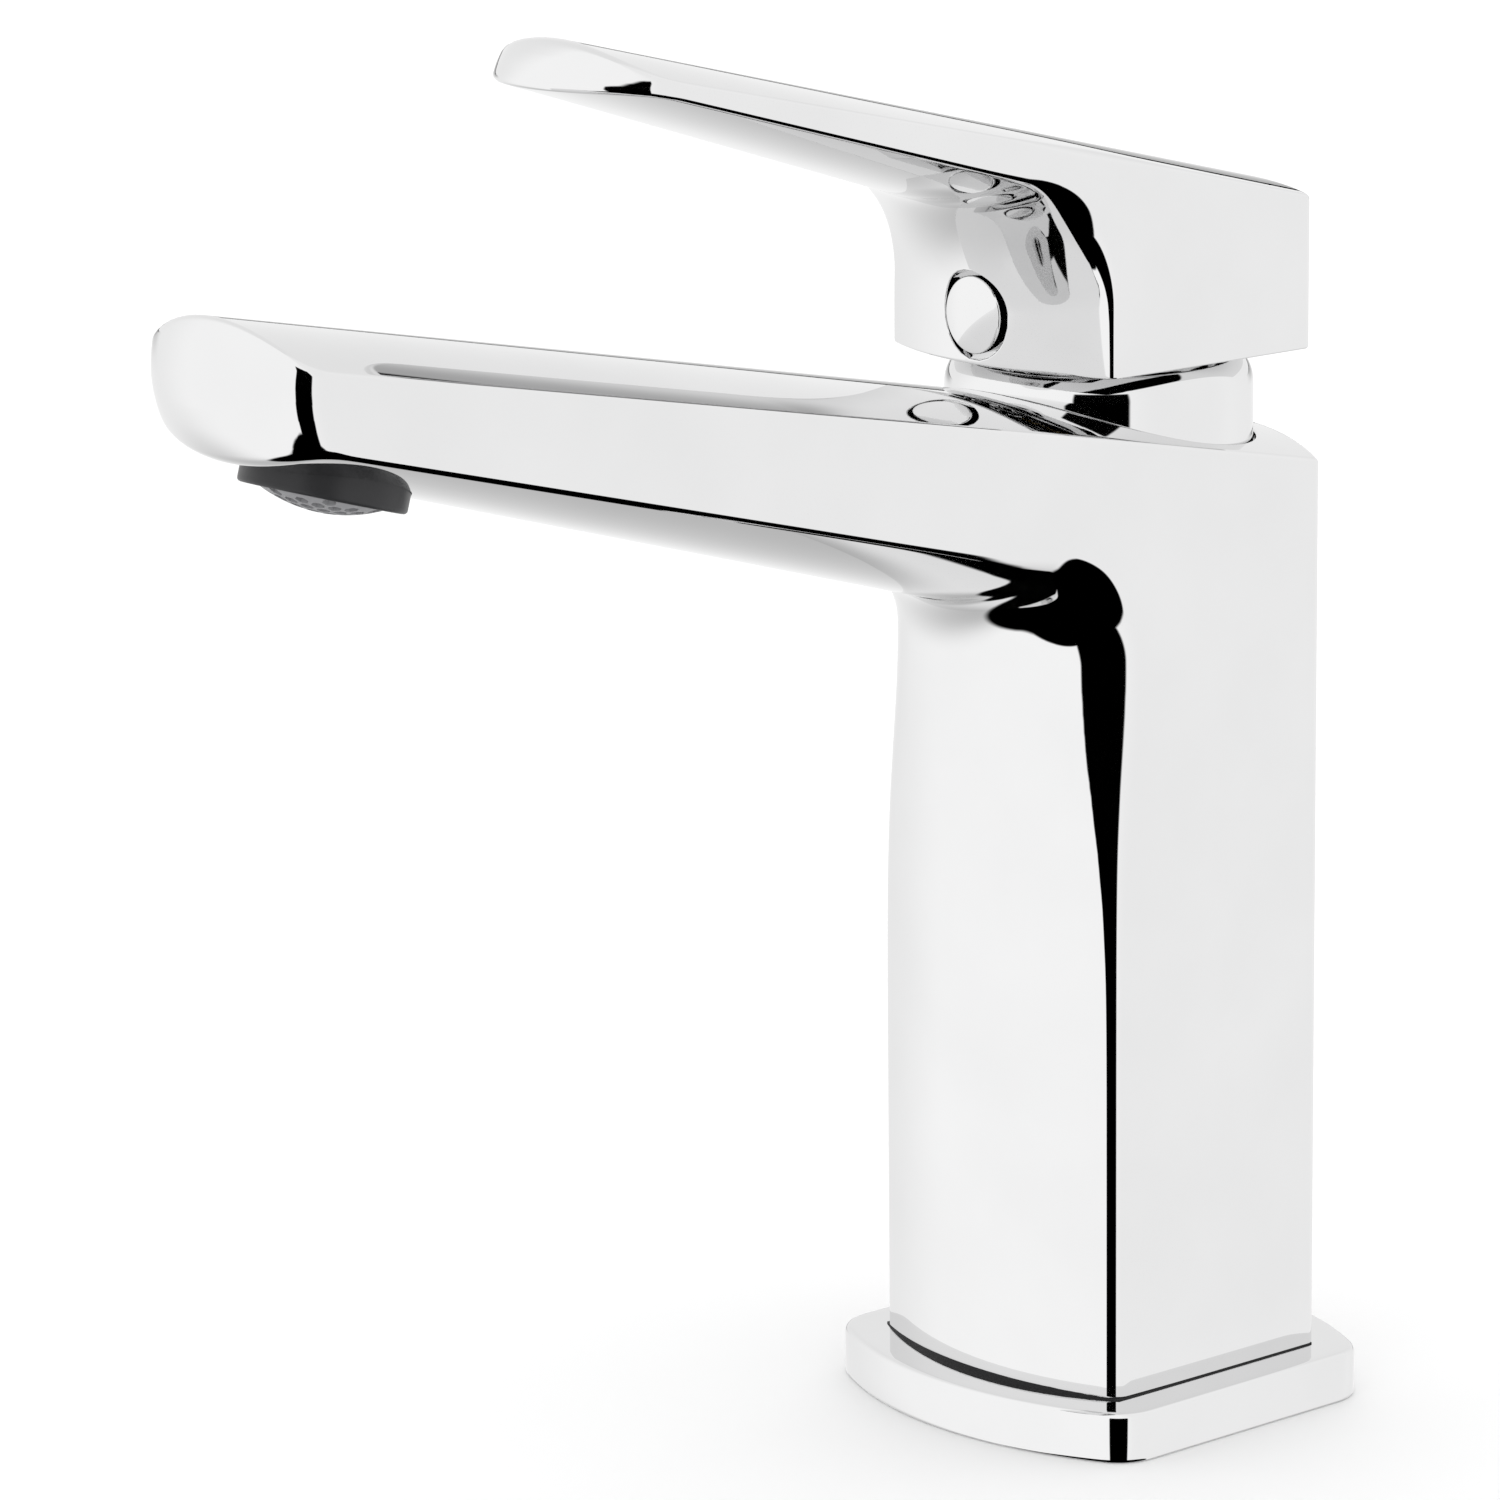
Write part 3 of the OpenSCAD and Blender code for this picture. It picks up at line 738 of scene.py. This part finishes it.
FOOT_BOW_R, FOOT_CORNER_R = 49.0, 6.0
FOOT_EDGE_R = 0.8
FOOT_BORE_R = 17.2
DECK_ROUND = [(0.5, 0.0), (0.2, 0.08), (0.05, 0.25), (0.0, 0.5)]    # (inset, level) pairs
FLAT_INSETS, FLAT_SCALE, FLAT_R = (1.6, 2.8), 0.84, 19.4            # rings of cells on the flat top
GROOVE_IN, GROOVE_OUT, GROOVE_Z = 19.0, 22.5, 1.6
BORE_CHAMFER = 0.2
GASKET_INSET = 0.12
OVERLAP = 0.01      # how far the gasket reaches into the column


def foot_outline():
    """Plan of the foot as points and outward normals: straight sides, bowed ends, round corners."""
    half, depth = foot_high[0], foot_high[1]
    bow_r, corner_r = FOOT_BOW_R, FOOT_CORNER_R
    bow_y = depth - bow_r
    centre_x = half - corner_r
    centre_y = bow_y + math.sqrt((bow_r - corner_r) ** 2 - centre_x ** 2)
    lean = math.atan2(centre_y - bow_y, centre_x)
    points, normals = [], []

    def stretch(centre, radius, start, end, count):
        for turn in np.linspace(start, end, count, endpoint=False):
            normal = np.array([math.cos(turn), math.sin(turn)])
            points.append(np.array(centre) + radius * normal)
            normals.append(normal)

    def straight(start, end, normal, count):
        for share in np.linspace(0, 1, count, endpoint=False):
            points.append(np.array(start) * (1 - share) + np.array(end) * share)
            normals.append(np.array(normal, float))

    straight((half, -centre_y), (half, centre_y), (1, 0), 16)
    stretch((centre_x, centre_y), corner_r, 0, lean, 10)
    stretch((0, bow_y), bow_r, lean, math.pi - lean, 36)
    stretch((-centre_x, centre_y), corner_r, math.pi - lean, math.pi, 10)
    straight((-half, centre_y), (-half, -centre_y), (-1, 0), 16)
    stretch((-centre_x, -centre_y), corner_r, math.pi, math.pi + lean, 10)
    stretch((0, -bow_y), bow_r, math.pi + lean, 2 * math.pi - lean, 36)
    stretch((centre_x, -centre_y), corner_r, 2 * math.pi - lean, 2 * math.pi, 10)
    return np.array(points), np.array(normals)


def closed_rings(rings):
    """A shell of (plan, level) rings, each joined to the next and the last to the first."""
    shell = Shell()
    numbers = [shell.add(np.column_stack([flat, np.zeros(len(flat)) + level])) for flat, level in rings]
    for a, b in zip(numbers, numbers[1:] + numbers[:1]):
        shell.band(a, b)
    return shell


def foot_piece():
    """Foot with a rounded top edge, a small round at the deck, a bore, and the groove of its seal."""
    points, normals = foot_outline()
    turn = points / np.linalg.norm(points, axis=1)[:, None]
    top, edge_r = foot_high[2], FOOT_EDGE_R
    rings = [(turn * FOOT_BORE_R, BORE_CHAMFER), (turn * (FOOT_BORE_R + BORE_CHAMFER), 0.0),
             (turn * GROOVE_IN, 0.0), (turn * GROOVE_IN, GROOVE_Z),
             (turn * GROOVE_OUT, GROOVE_Z), (turn * GROOVE_OUT, 0.0)]
    rings += [(points - normals * inset, level) for inset, level in DECK_ROUND]
    rings.append((points, (top - edge_r) / 2))
    for inset, level in arc_points((edge_r, top - edge_r), edge_r, 180, 90, 7):
        rings.append((points - normals * inset, level))
    rings += [(points - normals * inset, top) for inset in FLAT_INSETS]
    rings += [(points * FLAT_SCALE, top), (turn * FLAT_R, top), (turn * FOOT_BORE_R, top)]
    make_piece("foot_plate", closed_rings(rings), "body", "chrome", "base_plate")


def gasket_piece():
    """Thin seal between the foot and the column, which fills the rise under the column's front bow."""
    x = (BODY.half - GASKET_INSET) * np.sin(np.radians(np.linspace(-90, 90, 61)))
    front = np.column_stack([x, BODY.front_y(x) + GASKET_INSET])
    back = np.column_stack([x, BODY.back_y(x) - GASKET_INSET])[::-1]
    side = np.linspace(0, 1, 18, endpoint=False)[1:, None]
    right = front[-1] * (1 - side) + back[0] * side
    left = back[-1] * (1 - side) + front[0] * side
    points = np.concatenate([front, right, back, left])
    bore = points / np.linalg.norm(points, axis=1)[:, None] * FOOT_BORE_R
    rings = [(flat, foot_high[2]) for flat in (bore, points)]
    rings += [(flat, BODY.floor_z(flat[:, 1]) + OVERLAP) for flat in (points, bore)]
    make_piece("column_gasket", closed_rings(rings), "body", "rubber", "body_gasket")


# ---------------------------------------------------------------- dome, plug and aerator


def dome_piece():
    """Turned cap with a round shoulder, open in the middle for the stem, with a softened lip."""
    low, high = node_box("dome_cap")
    radius, top, bottom = high[0], high[2], low[2]
    shoulder_r, skin, lip = 4.5, 1.6, 1.0
    centre = (radius - shoulder_r, top - shoulder_r)
    rings = [(radius, bottom), (radius, (bottom + centre[1]) / 2)]
    rings += arc_points(centre, shoulder_r, 0, 90, 18)
    rings += [(centre[0] - 0.5 * lip, top), (centre[0] - 0.95 * lip, top - 0.12 * lip),
              (centre[0] - lip, top - 0.5 * lip), (centre[0] - lip, top - skin)]
    rings += arc_points(centre, shoulder_r - skin, 90, 0, 10)
    rings += [(radius - skin, bottom)]
    make_piece("dome_cover", lathe(rings, ORIGIN, UP, 144, closed=True), "body", "chrome", "dome_cap")


def plug_piece():
    """Domed button on a stub, out of the front of the hub."""
    radius, face, dome_h, edge_r = 4.65, 20.55, 0.62, 0.25
    dome_r = arc_radius(radius - edge_r, dome_h)
    lean = math.degrees(math.asin((radius - edge_r) / dome_r))
    stub_r, stub_end, shoulder = 2.4, 14, 18.1
    rings = [(0, stub_end), (stub_r - 0.4, stub_end), (stub_r, stub_end + 0.4), (stub_r, shoulder),
             (radius - 0.2, shoulder), (radius, shoulder + 0.2)]
    rings += arc_points((radius - edge_r, face - edge_r), edge_r, 0, 90 - lean, 5)
    for turn in np.linspace(lean, 0, 14)[1:]:
        turn = math.radians(turn)
        rings.append((dome_r * math.sin(turn), face + dome_h - dome_r * (1 - math.cos(turn))))
    rings[-1] = (0, rings[-1][1])
    make_piece("plug_button", lathe(rings, (0, 0, PLUG_Z), FORWARD, 72), "lever", "chrome", "index_plug")


# The aerator's ring and its honeycomb, with levels below the underside of the spout
RING_SHOW, RING_TOP, RING_EDGE_R = 1.75, -6.0, 0.45
GRID_R, GRID_LEVEL = 7.75, RING_SHOW - 0.35
GRID_PITCH, GRID_WALL, GRID_THICKNESS, GRID_BULGE = 1.84, 0.42, 1.6, 2.0
GRID_MARGIN = 0.62 * GRID_PITCH


def aerator_ring_piece():
    centre, down = aerator_frame()
    bore, foot, edge_r = GRID_R + 0.2, RING_SHOW, RING_EDGE_R
    rings = [(AERATOR_R, RING_TOP), (AERATOR_R, foot - edge_r - 0.1)]
    rings += arc_points((AERATOR_R - edge_r, foot - edge_r), edge_r, 0, 90, 6)[1:]
    rings += [(bore + 0.35, foot), (bore + 0.08, foot - 0.1), (bore, foot - 0.35), (bore, RING_TOP)]
    shell = lathe(rings, centre, down, 120, closed=True)
    make_piece("aerator_ring", shell, "body", "aerator_shell", "aerator_housing")


def aerator_grid_piece():
    """Honeycomb of small cells, bulging below the ring."""
    centre, down = aerator_frame()
    across = np.cross(down, AXIS_X)
    corner_r = GRID_PITCH / math.sqrt(3)
    inside_r = corner_r - GRID_WALL / math.sqrt(3)
    hexagon = [math.radians(30 + 60 * n) for n in range(6)]
    rim = [math.radians(3 * n) for n in range(120)]
    flat, faces = [], []

    def corner(x, y):
        flat.append((x, y))
        return len(flat) - 1

    reach = math.ceil(GRID_R / GRID_PITCH) + 1
    for row in range(-reach, reach + 1):
        for column in range(-reach, reach + 1):
            x = (column + (row % 2) / 2) * GRID_PITCH
            y = row * GRID_PITCH * math.sqrt(3) / 2
            if math.hypot(x, y) > GRID_R - GRID_MARGIN:
                continue
            outside = [corner(x + corner_r * math.cos(t), y + corner_r * math.sin(t)) for t in hexagon]
            inside = [corner(x + inside_r * math.cos(t), y + inside_r * math.sin(t)) for t in hexagon]
            for n in range(6):
                m = (n + 1) % 6
                faces.append((outside[n], outside[m], inside[m], inside[n]))
    bm = bmesh.new()
    points = [bm.verts.new((x * MM, y * MM, 0)) for x, y in flat]
    for face in faces:
        bm.faces.new([points[n] for n in face])
    bmesh.ops.remove_doubles(bm, verts=bm.verts, dist=0.01 * MM)
    rim_points = [bm.verts.new((GRID_R * math.cos(t) * MM, GRID_R * math.sin(t) * MM, 0)) for t in rim]
    rim_edges = [bm.edges.new((a, b)) for a, b in zip(rim_points, rim_points[1:] + rim_points[:1])]
    lattice = [e for e in bm.edges if e.is_boundary and on_lattice(e, GRID_R - GRID_MARGIN - corner_r)]
    bmesh.ops.triangle_fill(bm, use_beauty=True, edges=rim_edges + lattice, normal=(0, 0, 1))
    bmesh.ops.recalc_face_normals(bm, faces=bm.faces)
    front = list(bm.faces)
    back = bmesh.ops.extrude_face_region(bm, geom=front)["geom"]
    inner_side = {v for v in back if isinstance(v, bmesh.types.BMVert)}
    for vert in bm.verts:
        x, y = vert.co.x / MM, vert.co.y / MM
        bulge = GRID_BULGE * max(0, 1 - (x * x + y * y) / GRID_R ** 2)
        depth = -GRID_THICKNESS if vert in inner_side else bulge
        place = centre + x * AXIS_X + y * across + (GRID_LEVEL + depth) * down
        vert.co = Vector(place) * MM
    bmesh.ops.recalc_face_normals(bm, faces=bm.faces)
    piece = add_object("aerator_honeycomb", bm, FINISHES["grid_plastic"])
    join_frame(piece, "body", "aerator_outlet_grid")


def on_lattice(edge, limit):
    """Whether an open edge is on the outside of the lattice and not round one of its cells, whose
    edges are shorter."""
    return edge.calc_length() > 0.56 * GRID_PITCH * MM and edge.verts[0].co.length > limit * MM


body_piece()
handle_piece()
foot_piece()
gasket_piece()
dome_piece()
plug_piece()
aerator_ring_piece()
aerator_grid_piece()

# CAD nodes that stay as they are take their slot's finish
SLOTS = {part["node"]: part["material_slot"] for part in frame["record"]["subparts"]}
for name, node in frame["nodes"].items():
    node.data.materials.clear()
    finish = "aerator_shell" if name == "aerator_insert" else SLOTS[name]
    node.data.materials.append(FINISHES[finish])

# ---------------------------------------------------------------- camera, floor and light

# Fitted to the photo: the camera's turn, its tilt down and its roll in degrees, its place in metres,
# and its lens and sensor in millimetres
AZIMUTH, PITCH, ROLL = 49.434, 12.916, -0.654
CAMERA_AT = (0.57913, -0.55152, 0.26403)
LENS, SENSOR = 161.8, 36.0
CLIP = (0.01, 100.0)
FLOOR_R = 6.0

# Strength of the surroundings in mirror rays and in all other rays
MIRROR_LIGHT, DAYLIGHT = 1.22, 1.2

# What mirror rays see. Headings are in degrees from the camera's side, and heights are the Z of a ray's
# direction. Sectors are (start, end, softness).
SCREEN = (-22.0, 20.0, 1.2)
SCREEN_TOP, SCREEN_SOFT = 0.4, 0.06
TABLE_HEADING = 12.0
TABLE_FAR, TABLE_NEAR, TABLE_SOFT = -0.84, -0.55, 0.015
HORIZON = (150, 210, 8)
HAZE_LOW, HAZE, LINE = -0.17, 0.42, 0.5
WALL_LIGHT = 0.955
LOW_SHADE, FAR_SHADE, RIGHT_SHADE, RIGHT = 0.3, 0.16, 0.08, 70


def add_camera():
    turn, tilt, roll = (math.radians(v) for v in (AZIMUTH, PITCH, ROLL))
    ahead = Vector((-math.sin(turn) * math.cos(tilt), math.cos(turn) * math.cos(tilt), -math.sin(tilt)))
    right = Vector((math.cos(turn), math.sin(turn), 0))
    up = right.cross(ahead)
    right, up = (right * math.cos(roll) + up * math.sin(roll), up * math.cos(roll) - right * math.sin(roll))
    data = bpy.data.cameras.new("camera")
    data.lens, data.sensor_width = LENS, SENSOR
    data.clip_start, data.clip_end = CLIP
    camera = bpy.data.objects.new("camera", data)
    camera.matrix_world = Matrix((right, up, -ahead)).transposed().to_4x4()
    camera.location = CAMERA_AT
    bpy.context.scene.collection.objects.link(camera)
    bpy.context.scene.camera = camera


def add_floor():
    bm = bmesh.new()
    bmesh.ops.create_circle(bm, cap_ends=True, radius=FLOOR_R, segments=96)
    material, nodes, links, shader = new_material("pale_floor", (0.93, 0.93, 0.93), 0.0, 0.7)
    soft = noise(nodes, links, 3, 2)
    tint(nodes, links, shader, soft, (0.925, 0.925, 0.925), (0.935, 0.935, 0.935))
    floor = add_object("floor", bm, material)
    floor.visible_glossy = False


def add_studio():
    """Light from all round. Mirror rays see white walls, with a dark screen at the camera's side, a
    dark table below and a grey line on the far horizon. All other rays see one even daylight."""
    world = bpy.data.worlds.new("studio")
    bpy.context.scene.world = world
    world.use_nodes = True
    nodes, links = world.node_tree.nodes, world.node_tree.links
    background = nodes["Background"]
    place = nodes.new("ShaderNodeTexCoord")
    split = nodes.new("ShaderNodeSeparateXYZ")
    links.new(place.outputs["Generated"], split.inputs["Vector"])

    def math_node(operation, a, b):
        node = nodes.new("ShaderNodeMath")
        node.operation = operation
        for socket, value in zip(node.inputs, (a, b)):
            if isinstance(value, (int, float)):
                socket.default_value = value
            else:
                links.new(value, socket)
        return node.outputs[0]

    def blend_map(value, low, high, to_low, to_high):
        node = nodes.new("ShaderNodeMapRange")
        node.interpolation_type = "SMOOTHSTEP"
        for name, number in (("From Min", low), ("From Max", high), ("To Min", to_low), ("To Max", to_high)):
            node.inputs[name].default_value = number
        links.new(value, node.inputs["Value"])
        return node.outputs["Result"]

    x, y, z = split.outputs
    flat = math_node("SQRT", math_node("ADD", math_node("MULTIPLY", x, x), math_node("MULTIPLY", y, y)), 0)

    def towards(heading):
        """Cosine of the turn between a ray and a heading, in degrees from the camera's side."""
        turn = math.radians(AZIMUTH - 90 + heading)
        along = math_node("ADD", math_node("MULTIPLY", x, math.cos(turn)),
                          math_node("MULTIPLY", y, math.sin(turn)))
        return math_node("DIVIDE", along, flat)

    def sector(start, end, soft):
        """1 inside a sector of headings, 0 outside."""
        half, edge = math.radians((end - start) / 2), math.radians(soft)
        return blend_map(towards((start + end) / 2), math.cos(half + edge), math.cos(half - edge), 0, 1)

    # The screen that the camera stands behind
    screen = math_node("MULTIPLY", sector(*SCREEN), blend_map(z, SCREEN_TOP, SCREEN_TOP + SCREEN_SOFT, 1, 0))

    # The dark table, whose edge is nearer to straight down on the far side
    table_z = blend_map(towards(TABLE_HEADING), -0.2, 1.0, TABLE_FAR, TABLE_NEAR)
    table = blend_map(math_node("SUBTRACT", z, table_z), -TABLE_SOFT, TABLE_SOFT, 1, 0)

    # The far horizon: a soft shade below it, and a thin line on it
    shade = math_node("MULTIPLY", blend_map(z, HAZE_LOW, 0.0, 0, HAZE), blend_map(z, -0.004, 0.004, 1, 0))
    line = math_node("MULTIPLY", blend_map(z, -0.016, -0.010, 0, LINE), blend_map(z, -0.002, 0.004, 1, 0))
    horizon = math_node("MULTIPLY", math_node("ADD", shade, line), sector(*HORIZON))

    # White walls, a little darker low down on the far side, behind the object and on its right
    low = math_node("MULTIPLY", blend_map(z, -0.8, -0.3, LOW_SHADE, 0),
                    blend_map(towards(180), 0.1, 0.8, 0, 1))
    walls = math_node("SUBTRACT", math_node("SUBTRACT", WALL_LIGHT, low), horizon)
    walls = math_node("SUBTRACT", walls, blend_map(towards(180), 0.3, 1.0, 0, FAR_SHADE))
    walls = math_node("SUBTRACT", walls, blend_map(towards(RIGHT), 0.3, 0.95, 0, RIGHT_SHADE))
    lit = math_node("SUBTRACT", 1.0, math_node("MAXIMUM", screen, table))
    seen = math_node("MULTIPLY", math_node("MULTIPLY", walls, MIRROR_LIGHT), lit)
    mirror = nodes.new("ShaderNodeLightPath").outputs["Is Glossy Ray"]
    level = math_node("ADD", math_node("MULTIPLY", mirror, seen),
                      math_node("MULTIPLY", math_node("SUBTRACT", 1.0, mirror), DAYLIGHT))
    links.new(level, background.inputs["Strength"])
    background.inputs["Color"].default_value = (1, 1, 1, 1)


add_camera()
add_floor()
add_studio()
bpy.context.scene.view_settings.view_transform = "Standard"
